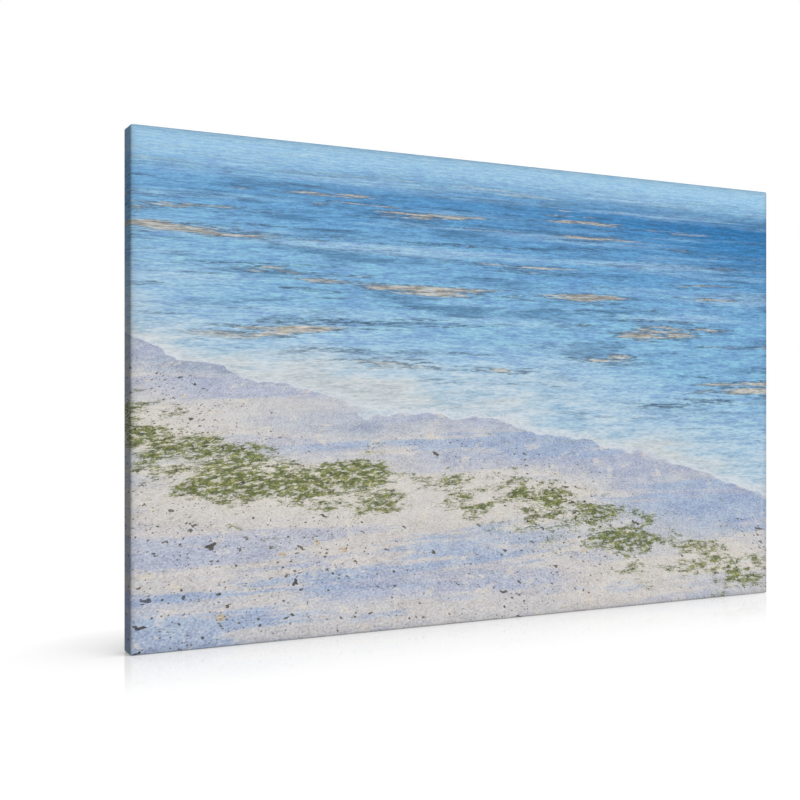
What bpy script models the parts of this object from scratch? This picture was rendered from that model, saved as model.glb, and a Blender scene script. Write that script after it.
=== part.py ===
"""A stretched canvas picture: printed cloth wrapped round a mitred pine frame and stapled to its back.

The picture faces -Y, X is its width and Z its height. The origin is under its middle, on the base.
"""

import math

import bmesh
import bpy
from mathutils import Matrix, Vector

# Driving dimensions, in metres.
WIDTH = 0.800
HEIGHT = 0.500
DEPTH = 0.025  # from the picture's face to the cloth turned over behind
CLOTH = 0.0005  # thickness of the primed cloth
EDGE_ROUND = 0.002  # the cloth's outer radius where it turns round a bar
ROUND_STEPS = 3
GAP = 0.0003  # left between pieces that touch

TURNOVER_SIDE = 0.0235  # the cloth behind, from the picture's edge to the cut edge
TURNOVER_TOP = 0.028
TURNOVER_BOTTOM = 0.022
FOLD_SET_IN = 0.002  # the corner folds start this far in from the picture's edges
FOLD_WIDTH = 0.0195

BAR_WIDTH = 0.038  # from the picture's edge to the bar's inner face
BAR_RIM = 0.007  # the raised rim that carries the cloth
BAR_DROP = 0.003  # how far the bar's front falls away from the cloth
BAR_ROUND = 0.0015  # the inner arris behind

TONGUE = 0.007  # thickness of the tongue in each mitred corner
TONGUE_HIDE = 0.003  # wood left over the tongue at the outer faces
TONGUE_SHOULDER = 0.001  # the tongue is this much narrower than the bar inside
TONGUE_ROOT = 0.010  # the tongue starts this far back inside its own bar

FINGER_LENGTH = 0.008
FINGER_PITCH = 0.0042

STAPLE_CROWN = 0.0103
STAPLE_LEG = 0.006
WIRE_THICK = 0.00045
WIRE_WIDE = 0.0009
SEAT = 0.00005  # between a staple's crown and the cloth under it
LEG_ROOM = 0.0001  # round a leg in its hole

CROWN_PROUD = SEAT + WIRE_THICK
FACE_Y = -(DEPTH + CLOTH + CROWN_PROUD) / 2
BACK_Y = FACE_Y + DEPTH
CORE = CLOTH + GAP  # from the picture's surface to the wood
BEYOND = 0.001  # how far a cutter reaches past what it cuts

# Each bar lies along one edge: the middle of that edge, the way in from it, and the edge's length.
BARS = {
    "left": (Vector((-WIDTH / 2, 0, HEIGHT / 2)), Vector((1, 0, 0)), HEIGHT),
    "right": (Vector((WIDTH / 2, 0, HEIGHT / 2)), Vector((-1, 0, 0)), HEIGHT),
    "top": (Vector((0, 0, HEIGHT)), Vector((0, 0, -1)), WIDTH),
    "bottom": (Vector((0, 0, 0)), Vector((0, 0, 1)), WIDTH),
}

# Finger-jointed lengths: bar, name of the length, its two ends along X or Z, wood. None is a mitred end.
LENGTHS = (
    ("right", "right_bar_upper", 0.2025, None, "pale_pine"),
    ("right", "right_bar_middle", 0.0460, 0.2025, "brown_pine"),
    ("right", "right_bar_lower", None, 0.0460, "pale_pine"),
    ("left", "left_bar_upper", 0.3310, None, "pale_pine"),
    ("left", "left_bar_lower", None, 0.3310, "straw_pine"),
    ("top", "top_bar_left", None, 0.0880, "straw_pine"),
    ("top", "top_bar_right", 0.0880, None, "pale_pine"),
    ("bottom", "bottom_bar_left", None, -0.1450, "pale_pine"),
    ("bottom", "bottom_bar_right", -0.1450, None, "straw_pine"),
)

# Staples along each strip: place along X or Z, distance in from the picture's edge, turn in degrees.
STRIP_STAPLES = {
    "right": (
        (0.3960, 0.0100, 3),
        (0.2985, 0.0105, -2),
        (0.2400, 0.0098, 2),
        (0.1630, 0.0102, -4),
        (0.0885, 0.0100, 2),
        (0.0300, 0.0104, -3),
    ),
    "left": (
        (0.4100, 0.0103, -3),
        (0.3070, 0.0098, 4),
        (0.2450, 0.0101, -2),
        (0.1720, 0.0106, 3),
        (0.0950, 0.0099, 2),
        (0.0310, 0.0102, -4),
    ),
    "top": (
        (-0.2950, 0.0118, 4),
        (-0.1980, 0.0110, -3),
        (-0.1020, 0.0124, 2),
        (-0.0040, 0.0116, -5),
        (0.1140, 0.0120, 3),
        (0.2060, 0.0112, -2),
        (0.3020, 0.0122, 4),
    ),
    "bottom": (
        (-0.3010, 0.0108, -3),
        (-0.2040, 0.0114, 2),
        (-0.1120, 0.0106, 4),
        (-0.0060, 0.0111, -2),
        (0.0990, 0.0115, -4),
        (0.1970, 0.0107, 3),
        (0.2980, 0.0112, -3),
    ),
}

# Staples through the corner folds: in from the side, in from the top or bottom, turn in degrees.
CORNER_STAPLES = {
    ("right", "top"): ((0.0147, 0.0187, -8), (0.0278, 0.0127, -8), (0.0330, 0.0172, -5)),
    ("right", "bottom"): ((0.0145, 0.0148, 2), (0.0313, 0.0150, -3), (0.0158, 0.0100, 4)),
    ("left", "top"): ((0.0140, 0.0178, 6), (0.0284, 0.0135, 5), (0.0342, 0.0186, 9)),
    ("left", "bottom"): ((0.0150, 0.0152, -4), (0.0306, 0.0138, 5), (0.0146, 0.0098, -2)),
}

for old in list(bpy.data.objects):
    bpy.data.objects.remove(old, do_unlink=True)

parts = bpy.data.collections.new("stretched_canvas_picture")
cutters = bpy.data.collections.new("cutters")
bpy.context.scene.collection.children.link(parts)
bpy.context.scene.collection.children.link(cutters)


def make_material(name, colour, roughness, metallic=0.0):
    made = bpy.data.materials.new(name)
    made.use_nodes = True
    shader = made.node_tree.nodes["Principled BSDF"]
    shader.inputs["Base Color"].default_value = (*colour, 1.0)
    shader.inputs["Roughness"].default_value = roughness
    shader.inputs["Metallic"].default_value = metallic
    made.diffuse_color = (*colour, 1.0)
    return made


MATERIALS = {
    "printed_cloth": make_material("printed_cloth", (0.20, 0.42, 0.62), 0.75),
    "pale_pine": make_material("pale_pine", (0.52, 0.41, 0.24), 0.6),
    "straw_pine": make_material("straw_pine", (0.50, 0.36, 0.18), 0.6),
    "brown_pine": make_material("brown_pine", (0.33, 0.16, 0.06), 0.6),
    "steel": make_material("steel", (0.55, 0.55, 0.56), 0.35, 1.0),
}


def as_part(name, mesh, material):
    piece = bpy.data.objects.new(name, mesh)
    parts.objects.link(piece)
    if not mesh.materials:
        mesh.materials.append(MATERIALS[material])
    return piece


def as_cutter(name, mesh):
    cutter = bpy.data.objects.new(name, mesh)
    cutters.objects.link(cutter)
    cutter.hide_render = True
    cutter.display_type = "WIRE"
    return cutter


def add_boolean(piece, cutter, operation):
    boolean = piece.modifiers.new(cutter.name, "BOOLEAN")
    boolean.operation = operation
    boolean.solver = "EXACT"
    boolean.object = cutter


def add_round(piece, radius):
    rounding = piece.modifiers.new("round", "BEVEL")
    rounding.width = radius
    rounding.segments = ROUND_STEPS
    rounding.limit_method = "ANGLE"


def prism(name, outline, half_length):
    """A closed mesh: the outline in local X and Y, carried half_length each way along local Z."""
    curve = bpy.data.curves.new(name, "CURVE")
    curve.dimensions = "2D"
    curve.fill_mode = "BOTH"
    curve.extrude = half_length
    spline = curve.splines.new("POLY")
    spline.points.add(len(outline) - 1)
    for point, (x, y) in zip(spline.points, outline):
        point.co = (x, y, 0, 1)
    spline.use_cyclic_u = True
    drawn = bpy.data.objects.new(name, curve)
    cutters.objects.link(drawn)
    evaluated = drawn.evaluated_get(bpy.context.evaluated_depsgraph_get())
    mesh = bpy.data.meshes.new_from_object(evaluated)
    bpy.data.objects.remove(drawn, do_unlink=True)
    shape = bmesh.new()
    shape.from_mesh(mesh)
    bmesh.ops.remove_doubles(shape, verts=shape.verts, dist=1e-6)
    bmesh.ops.recalc_face_normals(shape, faces=shape.faces)
    shape.to_mesh(mesh)
    shape.free()
    return mesh


def boxes(name, corners):
    """One mesh of separate boxes, each given by its lowest and highest corner."""
    shape = bmesh.new()
    for low, high in corners:
        size = Vector(high) - Vector(low)
        middle = (Vector(high) + Vector(low)) / 2
        bmesh.ops.create_cube(shape, size=1.0, matrix=Matrix.LocRotScale(middle, None, size))
    mesh = bpy.data.meshes.new(name)
    shape.to_mesh(mesh)
    shape.free()
    return mesh


def axes_at(origin, x_axis, y_axis):
    """The matrix that puts local X and Y along the given axes."""
    z_axis = x_axis.cross(y_axis)
    turned = Matrix((x_axis, y_axis, z_axis)).transposed().to_4x4()
    return Matrix.Translation(origin) @ turned


def block_mesh(name, inset):
    """The picture's block, drawn in by inset on every side."""
    low = (-WIDTH / 2 + inset, FACE_Y + inset, inset)
    high = (WIDTH / 2 - inset, BACK_Y - inset, HEIGHT - inset)
    return boxes(name, [(low, high)])


def staple_places():
    """Every staple's name, its matrix and how far its crown's seat stands behind the cloth."""
    places = []
    for side, rows in STRIP_STAPLES.items():
        upright = side in ("left", "right")
        for number, (along, inward, turn) in enumerate(rows, 1):
            edge, way_in, _ = BARS[side]
            spot = edge + way_in * inward
            spot = Vector((spot.x, 0, along)) if upright else Vector((along, 0, spot.z))
            angle = math.radians(turn) + (math.pi / 2 if upright else 0)
            places.append((f"staple_{side}_{number}", spot, angle, 0.0))
    for (side, end), rows in CORNER_STAPLES.items():
        for number, (from_side, from_end, turn) in enumerate(rows, 1):
            sign = 1 if side == "right" else -1
            height = HEIGHT - from_end if end == "top" else from_end
            spot = Vector((sign * (WIDTH / 2 - from_side), 0, height))
            over_fold = from_side + STAPLE_CROWN / 2 < FOLD_SET_IN + FOLD_WIDTH
            name = f"staple_{end}_{side}_corner_{number}"
            places.append((name, spot, math.radians(turn), CLOTH if over_fold else 0.0))
    return places


def staple_matrix(spot, angle, raised):
    """Local X runs along the crown, local Y out of the back, and the crown's seat is at local Y = 0."""
    spot = Vector((spot.x, BACK_Y + raised + SEAT, spot.z))
    along = Vector((math.cos(angle), 0, math.sin(angle)))
    return axes_at(spot, along, Vector((0, 1, 0)))


def make_staples(places):
    """A flat wire bent square: one crown behind the cloth and two legs in the wood."""
    half = STAPLE_CROWN / 2
    outline = (
        (-half, WIRE_THICK),
        (-half, -STAPLE_LEG),
        (-half + WIRE_THICK, -STAPLE_LEG),
        (-half + WIRE_THICK, 0),
        (half - WIRE_THICK, 0),
        (half - WIRE_THICK, -STAPLE_LEG),
        (half, -STAPLE_LEG),
        (half, WIRE_THICK),
    )
    mesh = prism("staple", outline, WIRE_WIDE / 2)
    for name, spot, angle, raised in places:
        staple = as_part(name, mesh, "steel")
        staple.matrix_world = staple_matrix(spot, angle, raised)


def staple_hole_cutter(places):
    """A slot round every leg, through the cloth and into the wood."""
    shape = bmesh.new()
    size = Vector((WIRE_THICK + 2 * LEG_ROOM, STAPLE_LEG + GAP + BEYOND, WIRE_WIDE + 2 * LEG_ROOM))
    for _, spot, angle, raised in places:
        for sign in (-1, 1):
            middle = Vector((sign * (STAPLE_CROWN - WIRE_THICK) / 2, (BEYOND - STAPLE_LEG - GAP) / 2, 0))
            place = staple_matrix(spot, angle, raised) @ Matrix.LocRotScale(middle, None, size)
            bmesh.ops.create_cube(shape, size=1.0, matrix=place)
    mesh = bpy.data.meshes.new("staple_holes")
    shape.to_mesh(mesh)
    shape.free()
    return as_cutter("staple_holes", mesh)


def corner_folds():
    """The doubled cloth at each corner, where the top and bottom strips lie over the side strips."""
    folds = []
    for sign in (-1, 1):
        near = WIDTH / 2 - FOLD_SET_IN
        ends = sorted((sign * near, sign * (near - FOLD_WIDTH)))
        for low, high in (
            (FOLD_SET_IN, TURNOVER_BOTTOM - GAP),
            (HEIGHT - TURNOVER_TOP + GAP, HEIGHT - FOLD_SET_IN),
        ):
            folds.append(((ends[0], BACK_Y - CLOTH / 2, low), (ends[1], BACK_Y + CLOTH, high)))
    return as_cutter("corner_folds", boxes("corner_folds", folds))


def make_cloth(holes):
    """The printed cloth: face, four sides and the strips turned over behind, open in the middle."""
    mesh = block_mesh("canvas", 0.0)
    shape = bmesh.new()
    shape.from_mesh(mesh)
    behind = [face for face in shape.faces if face.normal.y > 0.5]
    bmesh.ops.inset_region(shape, faces=behind, thickness=TURNOVER_SIDE)
    opening = [face for face in shape.faces if face.normal.y > 0.5 and len(face.verts) == 4]
    opening = min(opening, key=lambda face: (face.calc_center_median() - Vector((0, BACK_Y, HEIGHT / 2))).length)
    for vert in opening.verts:
        vert.co.z = HEIGHT - TURNOVER_TOP if vert.co.z > HEIGHT / 2 else TURNOVER_BOTTOM
    bmesh.ops.delete(shape, geom=[opening], context="FACES_ONLY")
    shape.to_mesh(mesh)
    shape.free()
    cloth = as_part("canvas", mesh, "printed_cloth")
    add_round(cloth, EDGE_ROUND)
    wall = cloth.modifiers.new("thickness", "SOLIDIFY")
    wall.thickness = CLOTH
    wall.offset = -1.0
    wall.use_even_offset = True
    add_boolean(cloth, corner_folds(), "UNION")
    add_boolean(cloth, holes, "DIFFERENCE")


def bar_section():
    """The bar cut across: distance in from the picture's edge, then depth. The core trims its outer arrises."""
    rim_y = FACE_Y + CORE
    back_y = BACK_Y - CORE
    section = [
        (-BEYOND, rim_y - BEYOND),
        (BAR_RIM, rim_y - BEYOND),
        (BAR_RIM, rim_y),
        (BAR_WIDTH, rim_y + BAR_DROP),
    ]
    for step in range(ROUND_STEPS + 1):
        angle = math.pi / 2 * step / ROUND_STEPS
        inward = BAR_WIDTH - BAR_ROUND + BAR_ROUND * math.cos(angle)
        section.append((inward, back_y - BAR_ROUND + BAR_ROUND * math.sin(angle)))
    section += [(BAR_WIDTH - BAR_ROUND, back_y + BEYOND), (-BEYOND, back_y + BEYOND)]
    return section


def mitred_bar(side):
    """A bar's blank in its place: its section carried along the edge and cut at 45 degrees at both ends."""
    edge, way_in, length = BARS[side]
    mesh = prism(side + "_bar", bar_section(), length / 2 + BEYOND)
    shape = bmesh.new()
    shape.from_mesh(mesh)
    for end in (-1, 1):
        normal = Vector((1, 0, end)).normalized()
        on_mitre = Vector((0, 0, end * length / 2)) - normal * (GAP / 2)
        everything = shape.verts[:] + shape.edges[:] + shape.faces[:]
        cut = bmesh.ops.bisect_plane(
            shape, geom=everything, plane_co=on_mitre, plane_no=normal, clear_outer=True
        )
        rim = [item for item in cut["geom_cut"] if isinstance(item, bmesh.types.BMEdge)]
        bmesh.ops.holes_fill(shape, edges=rim, sides=0)
    bmesh.ops.recalc_face_normals(shape, faces=shape.faces)
    shape.transform(axes_at(edge, way_in, Vector((0, 1, 0))))
    shape.to_mesh(mesh)
    shape.free()
    return mesh


def tongue_boxes(end, room):
    """The tongues of the top or bottom bar, which lie in the side bars' ends, grown by room all round."""
    middle_y = (FACE_Y + BACK_Y) / 2
    from_edge = CORE + TONGUE_HIDE - room
    from_inside = BAR_WIDTH - TONGUE_SHOULDER + room
    heights = (from_edge, from_inside) if end == "bottom" else (HEIGHT - from_inside, HEIGHT - from_edge)
    found = []
    for sign in (-1, 1):
        ends = sorted((sign * (WIDTH / 2 - from_edge), sign * (WIDTH / 2 - BAR_WIDTH - TONGUE_ROOT)))
        low = (ends[0], middle_y - TONGUE / 2 - room, heights[0])
        high = (ends[1], middle_y + TONGUE / 2 + room, heights[1])
        found.append((low, high))
    return found


def finger_line(side, along, offset):
    """Points of a finger joint across a bar, as X and Z: teeth that run the bar's way, moved by offset."""
    edge, way_in, _ = BARS[side]
    count = math.ceil((BAR_WIDTH + 2 * BEYOND) / (FINGER_PITCH / 2))
    points = []
    for number in range(count + 1):
        inward = number * FINGER_PITCH / 2 - BEYOND
        reach = along + offset + (FINGER_LENGTH / 2 if number % 2 else -FINGER_LENGTH / 2)
        across = edge + way_in * inward
        points.append((across.x, reach) if side in ("left", "right") else (reach, across.z))
    return points


def length_region(side, name, low, high):
    """A cutter that keeps one finger-jointed length of a bar."""
    upright = side in ("left", "right")
    far = HEIGHT + BEYOND if upright else WIDTH / 2 + BEYOND
    near = -BEYOND if upright else -WIDTH / 2 - BEYOND
    first = finger_line(side, near if low is None else low, GAP / 2)
    last = finger_line(side, far if high is None else high, -GAP / 2)
    if low is None:
        first = [(x, near) if upright else (near, z) for x, z in first[:1] + first[-1:]]
    if high is None:
        last = [(x, far) if upright else (far, z) for x, z in last[:1] + last[-1:]]
    mesh = prism(name + "_region", first + last[::-1], DEPTH)
    region = as_cutter(name + "_region", mesh)
    region.matrix_world = axes_at(Vector((0, 0, 0)), Vector((1, 0, 0)), Vector((0, 0, 1)))
    return region


def make_bars(holes):
    """The frame: four mitred bars, tongued at the corners and finger-jointed along their length."""
    core = as_cutter("core", block_mesh("core", CORE))
    add_round(core, EDGE_ROUND - CORE)
    slots = as_cutter("slots", boxes("slots", tongue_boxes("top", GAP) + tongue_boxes("bottom", GAP)))
    tongues = {
        end: as_cutter(end + "_tongues", boxes(end + "_tongues", tongue_boxes(end, 0.0)))
        for end in ("top", "bottom")
    }
    for side, name, low, high, wood in LENGTHS:
        bar = as_part(name, mitred_bar(side), wood)
        add_boolean(bar, core, "INTERSECT")
        if side in tongues:
            add_boolean(bar, tongues[side], "UNION")
        else:
            add_boolean(bar, slots, "DIFFERENCE")
        add_boolean(bar, holes, "DIFFERENCE")
        add_boolean(bar, length_region(side, name, low, high), "INTERSECT")


staples = staple_places()
staple_holes = staple_hole_cutter(staples)
make_cloth(staple_holes)
make_bars(staple_holes)
make_staples(staples)
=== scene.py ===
"""A stretched canvas picture on a white table: printed cloth, a mitred pine frame and their staples."""

import math

import bmesh
import bpy
import numpy as np
from mathutils import Matrix, Vector


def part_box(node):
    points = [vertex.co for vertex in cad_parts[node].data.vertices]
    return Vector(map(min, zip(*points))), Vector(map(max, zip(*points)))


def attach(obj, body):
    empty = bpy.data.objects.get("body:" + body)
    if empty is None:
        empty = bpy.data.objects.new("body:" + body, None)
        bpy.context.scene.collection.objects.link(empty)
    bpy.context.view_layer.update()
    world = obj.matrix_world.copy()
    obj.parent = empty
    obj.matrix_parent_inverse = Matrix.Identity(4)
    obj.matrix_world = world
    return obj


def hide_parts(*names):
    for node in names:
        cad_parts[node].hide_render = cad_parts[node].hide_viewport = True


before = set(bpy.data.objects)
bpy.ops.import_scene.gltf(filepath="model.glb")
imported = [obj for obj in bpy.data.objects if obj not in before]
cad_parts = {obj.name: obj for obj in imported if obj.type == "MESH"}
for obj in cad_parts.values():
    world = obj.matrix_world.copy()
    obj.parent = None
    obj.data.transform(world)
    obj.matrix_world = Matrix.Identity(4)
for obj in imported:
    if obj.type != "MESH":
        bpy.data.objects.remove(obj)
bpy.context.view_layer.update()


# Studio: a level camera left of the picture's middle, so that the left side shows, and a white table.
# The key light comes from the front right and misses the left side, which only a weak fill reaches.
# The table glows like a light table, with painted shade round what stands on it, and is polished, so that
# it mirrors the picture's foot faintly.
CAMERA_PLACE = (-0.683, -1.1125, 0.2404)
CAMERA_TURN = math.radians(-27.29)
CAMERA_LENS = 53.1
CAMERA_SENSOR = 36.0
CAMERA_NEAREST = 0.01
TABLE_HALF = 40.0
TABLE_ASIDE = 12.0
TABLE_DROP = 0.0002
TABLE_TONE = 0.03
TABLE_ROUGH = 0.8
SHADE_REACH = 0.12
SHADE_FROM = (0.62, -0.68, 0.40)
MIRROR_ROUGH = 0.06
MIRROR_SHARE = 0.22
MIRROR_FADES = (0.033, 0.190)
WHITE = (1.0, 1.0, 1.0, 1.0)
LAMPS = {
    # name: (degrees round from the front, degrees up, strength, spread in degrees, tint)
    "overhead": (180, 62, 1.0, 34, (1.0, 1.0, 1.0)),
    "key": (8, 4, 3.75, 24, (1.0, 1.0, 1.0)),
    "left_fill": (-80, 8, 0.63, 50, (0.92, 0.98, 1.06)),
    "back": (160, 36, 1.9, 30, (1.0, 1.0, 1.0)),
}

camera_data = bpy.data.cameras.new("studio_camera")
camera_data.lens = CAMERA_LENS
camera_data.sensor_width = CAMERA_SENSOR
camera_data.clip_start = CAMERA_NEAREST
camera = bpy.data.objects.new("studio_camera", camera_data)
camera.location = CAMERA_PLACE
camera.rotation_euler = (math.pi / 2, 0.0, CAMERA_TURN)
bpy.context.scene.collection.objects.link(camera)
bpy.context.scene.camera = camera


def put(tree, kind, inputs=None, **settings):
    """Adds a node, sets it up, and gives each named input a value or another node's output."""
    made = tree.nodes.new(kind)
    for name, value in settings.items():
        setattr(made, name, value)
    for socket, value in (inputs or {}).items():
        if isinstance(value, bpy.types.NodeSocket):
            tree.links.new(value, made.inputs[socket])
        else:
            made.inputs[socket].default_value = value
    return made


def reckon(tree, operation, *values):
    return put(tree, "ShaderNodeMath", dict(enumerate(values)), operation=operation).outputs[0]


def rise(tree, value, low, high, start=0.0, end=1.0):
    """A smooth rise from start to end as value goes from low to high."""
    inputs = {"Value": value, "From Min": low, "From Max": high, "To Min": start, "To Max": end}
    return put(tree, "ShaderNodeMapRange", inputs, interpolation_type="SMOOTHSTEP").outputs[0]


def white_table():
    """A glowing white sheet, with painted shade behind what stands on it, and a faint mirror image of its
    foot.
    """
    finish = bpy.data.materials.new("white_table")
    finish.use_nodes = True
    tree = finish.node_tree
    sheet = tree.nodes["Principled BSDF"]
    # Painted shade: the glow's strength is the share of open sky that the occlusion node finds, leaning to
    # the front right, so the sheet dims round the picture's foot.
    leaning = put(tree, "ShaderNodeCombineXYZ", dict(enumerate(SHADE_FROM))).outputs[0]
    shade = {"Distance": SHADE_REACH, "Normal": leaning}
    painted_shade_glow = put(tree, "ShaderNodeAmbientOcclusion", shade).outputs["AO"]
    tree.links.new(painted_shade_glow, sheet.inputs["Emission Strength"])
    sheet.inputs["Base Color"].default_value = (TABLE_TONE, TABLE_TONE, TABLE_TONE, 1.0)
    sheet.inputs["Roughness"].default_value = TABLE_ROUGH
    sheet.inputs["Specular IOR Level"].default_value = 0.0
    sheet.inputs["Emission Color"].default_value = WHITE
    polish = {"Base Color": WHITE, "Metallic": 1.0, "Roughness": MIRROR_ROUGH}
    mirror = put(tree, "ShaderNodeBsdfPrincipled", polish)
    where = put(tree, "ShaderNodeTexCoord").outputs["Object"]
    place = put(tree, "ShaderNodeSeparateXYZ", {0: where}).outputs
    share = rise(tree, reckon(tree, "ABSOLUTE", place["Y"]), *MIRROR_FADES, MIRROR_SHARE, 0.0)
    shaders = {0: share, 1: sheet.outputs["BSDF"], 2: mirror.outputs["BSDF"]}
    both = put(tree, "ShaderNodeMixShader", shaders)
    tree.links.new(both.outputs[0], tree.nodes["Material Output"].inputs["Surface"])
    return finish


# The sheet is set well aside, so that the seam between its two triangles runs clear of the picture.
bpy.ops.object.select_all(action="DESELECT")
bpy.ops.mesh.primitive_plane_add(size=2 * TABLE_HALF, location=(TABLE_ASIDE, 0, -TABLE_DROP))
table = bpy.context.object
table.name = "table"
table.data.materials.append(white_table())
table.visible_diffuse = False
table.visible_glossy = False

walls = bpy.data.worlds.new("white_walls")
walls.use_nodes = True
walls.node_tree.nodes["Background"].inputs["Color"].default_value = WHITE
walls.node_tree.nodes["Background"].inputs["Strength"].default_value = 1.0
walls.cycles_visibility.diffuse = False
bpy.context.scene.world = walls
bpy.context.scene.view_settings.view_transform = "Standard"

for name, (round_from_front, up, strength, spread, tint) in LAMPS.items():
    lamp_data = bpy.data.lights.new(name, "SUN")
    lamp_data.energy = strength
    lamp_data.angle = math.radians(spread)
    lamp_data.color = tint
    lamp = bpy.data.objects.new(name, lamp_data)
    turn, climb = math.radians(round_from_front), math.radians(up)
    level = math.cos(climb)
    towards = Vector((math.sin(turn) * level, -math.cos(turn) * level, math.sin(climb)))
    lamp.rotation_euler = towards.to_track_quat("Z", "Y").to_euler()
    bpy.context.scene.collection.objects.link(lamp)


# Canvas: cotton cloth with a white ground, printed, pulled over the frame and stapled behind.
# One sheet gives the face, the sides and the strips behind. At the corners the top and bottom
# strips lie folded over the side strips, and the staples pucker them.
canvas_low, canvas_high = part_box("canvas")
WIDTH = canvas_high.x - canvas_low.x
HEIGHT = canvas_high.z - canvas_low.z
DEPTH = 0.025
FACE_Y = canvas_low.y
BACK_Y = FACE_Y + DEPTH
CLOTH = 0.0005
EDGE_ROUND = 0.002
EDGE_ANGLES = (45, 30, 15, 0)
TURN_SIDE = 0.0235
TURN_TOP = 0.028
TURN_BOTTOM = 0.022

FOLD_SET_IN = 0.0021
FOLD_EDGE = 0.0008
FOLD_HEIGHT = 0.0008
FOLD_CORNER = 0.0032
LEAST_RADIUS = 1e-9
FOLD_PRESSED = 0.004
FOLD_STARTS = 0.009
FOLD_FADES = (0.0235, 0.034)

FINE_PITCH = 0.0011
WIDE_PITCH = 0.0050
SIDE_PITCH = 0.0040
PUCKER_REACH = 0.0075
PUCKER_HEIGHT = 0.0006
STAPLE_DIP = 0.0004
CROWN_HALF = 0.0046
CROWN_LEVEL = 0.0001
DIP_WIDE = 0.0012
GATHER_RING = 0.0031
GATHER_WIDE = 0.0017
GATHER_STARTS = (0.0009, 0.0026)
GATHER_FOLDS = 5
SLACK_MEAN = 0.5
SLACK_WAVE = (0.25, (0.071, 0.029), (0.0, 1.1))
SLACK_HEIGHT = 0.00016
SLACK_STARTS = (0.003, 0.010)
CUT_CURL = 0.00035
CUT_CURL_WIDE = 0.0035
RIM_TAUT = (0.0015, 0.005)

TOP_CUT_WAVE = (0.00035, (0.43, 0.117), (0.4, 2.2))
LOW_CUT_WAVE = (0.00030, (0.37, 0.131), (1.9, 0.3))
SIDE_CUT_WAVE = (0.00032, (0.29, 0.093), (0.9, 1.4))
CUT_REACH = 0.007
CUT_ENDS = 0.02

FACE_EVERY = 4
CLOSE = 1e-6


def read_staple(name):
    """The middle of a staple's crown in X and Z, the way it runs, and how far behind its top lies."""
    corners = np.array([vertex.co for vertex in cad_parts[name].data.vertices])
    top = corners[:, 1].max()
    crown = corners[corners[:, 1] > top - CROWN_LEVEL][:, [0, 2]]
    middle = (crown.max(axis=0) + crown.min(axis=0)) / 2
    _, _, ways = np.linalg.svd(crown - crown.mean(axis=0), full_matrices=False)
    return middle, ways[0], top


STAPLE_NAMES = sorted(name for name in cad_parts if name.startswith("staple_"))
STAPLES = {name: read_staple(name) for name in STAPLE_NAMES}


def smooth_rise(low, high, value):
    part = np.clip((value - low) / (high - low), 0.0, 1.0)
    return part * part * (3.0 - 2.0 * part)


def spaced_lines(low, high, stations):
    """Grid lines from low to high, close together near the stations, where the cloth puckers."""
    places = [low]
    while places[-1] < high:
        near = min((abs(places[-1] - station) for station in stations), default=1.0)
        places.append(places[-1] + (FINE_PITCH if near < PUCKER_REACH else WIDE_PITCH))
    places = np.array(places)
    return low + (places - low) * (high - low) / (places[-1] - low)


def edge_lines():
    """Distances in from an edge at which the cloth has turned 45, 30, 15 and 0 degrees away from flat."""
    return [EDGE_ROUND * (1 - math.tan(math.radians(angle))) for angle in EDGE_ANGLES]


def strip_lines(reach, steps):
    """Distances in from an edge over a turned-over strip, with the given steps close together."""
    start = max(EDGE_ROUND, max((step for step in steps if step < reach / 2), default=0.0))
    end = min((step for step in steps if step > reach / 2), default=reach)
    count = math.ceil((end - start) / FINE_PITCH)
    return sorted(set(edge_lines()) | set(steps) | set(np.linspace(start, end, count + 1)) | {reach})


def both_ends(length, first, last, stations):
    """All grid lines along a length, from the lines in from its first end and in from its last end."""
    middle = spaced_lines(first[-1], length - last[-1], stations)
    return np.concatenate([first, middle[1:-1], (length - np.array(last))[::-1]])


fold_steps = [FOLD_SET_IN + FOLD_EDGE * share for share in (0.0, 0.2, 0.5, 1.0)]
fold_steps.append(FOLD_SET_IN + 2 * FOLD_EDGE)
cut_steps = [FOLD_EDGE * share for share in (1.5, 1.0, 0.5, 0.2)]
side_lines = strip_lines(TURN_SIDE, fold_steps)
top_lines = strip_lines(TURN_TOP, [TURN_TOP - step for step in cut_steps])
bottom_lines = strip_lines(TURN_BOTTOM, [TURN_BOTTOM - step for step in cut_steps])

middles = {name: middle for name, (middle, _, _) in STAPLES.items()}
across = [middle[0] + WIDTH / 2 for name, middle in middles.items() if "top" in name or "bottom" in name]
up = [middle[1] for name, middle in middles.items() if "corner" not in name]
up = [z for z in up if TURN_BOTTOM < z < HEIGHT - TURN_TOP]
x_lines = both_ends(WIDTH, side_lines, side_lines, across) - WIDTH / 2
z_lines = both_ends(HEIGHT, bottom_lines, top_lines, up)
y_inner = np.linspace(EDGE_ROUND, DEPTH - EDGE_ROUND, round(DEPTH / SIDE_PITCH) + 1)
y_turning = np.array(edge_lines()[:-1])
y_lines = FACE_Y + np.concatenate([y_turning, y_inner, DEPTH - y_turning[::-1]])


def grid_cells(first, second):
    """The corner values of every cell between two sets of lines, four corners to a cell."""
    near_first, near_second = np.meshgrid(first[:-1], second[:-1], indexing="ij")
    far_first, far_second = np.meshgrid(first[1:], second[1:], indexing="ij")
    around_first = np.stack([near_first, far_first, far_first, near_first], axis=-1)
    around_second = np.stack([near_second, near_second, far_second, far_second], axis=-1)
    return around_first.reshape(-1, 4), around_second.reshape(-1, 4)


def beside_corner(x):
    """True for cells of the top, bottom and back that the side cloth covers, outside the folds."""
    return np.abs(x).mean(axis=1, keepdims=True) > WIDTH / 2 - FOLD_SET_IN


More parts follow.
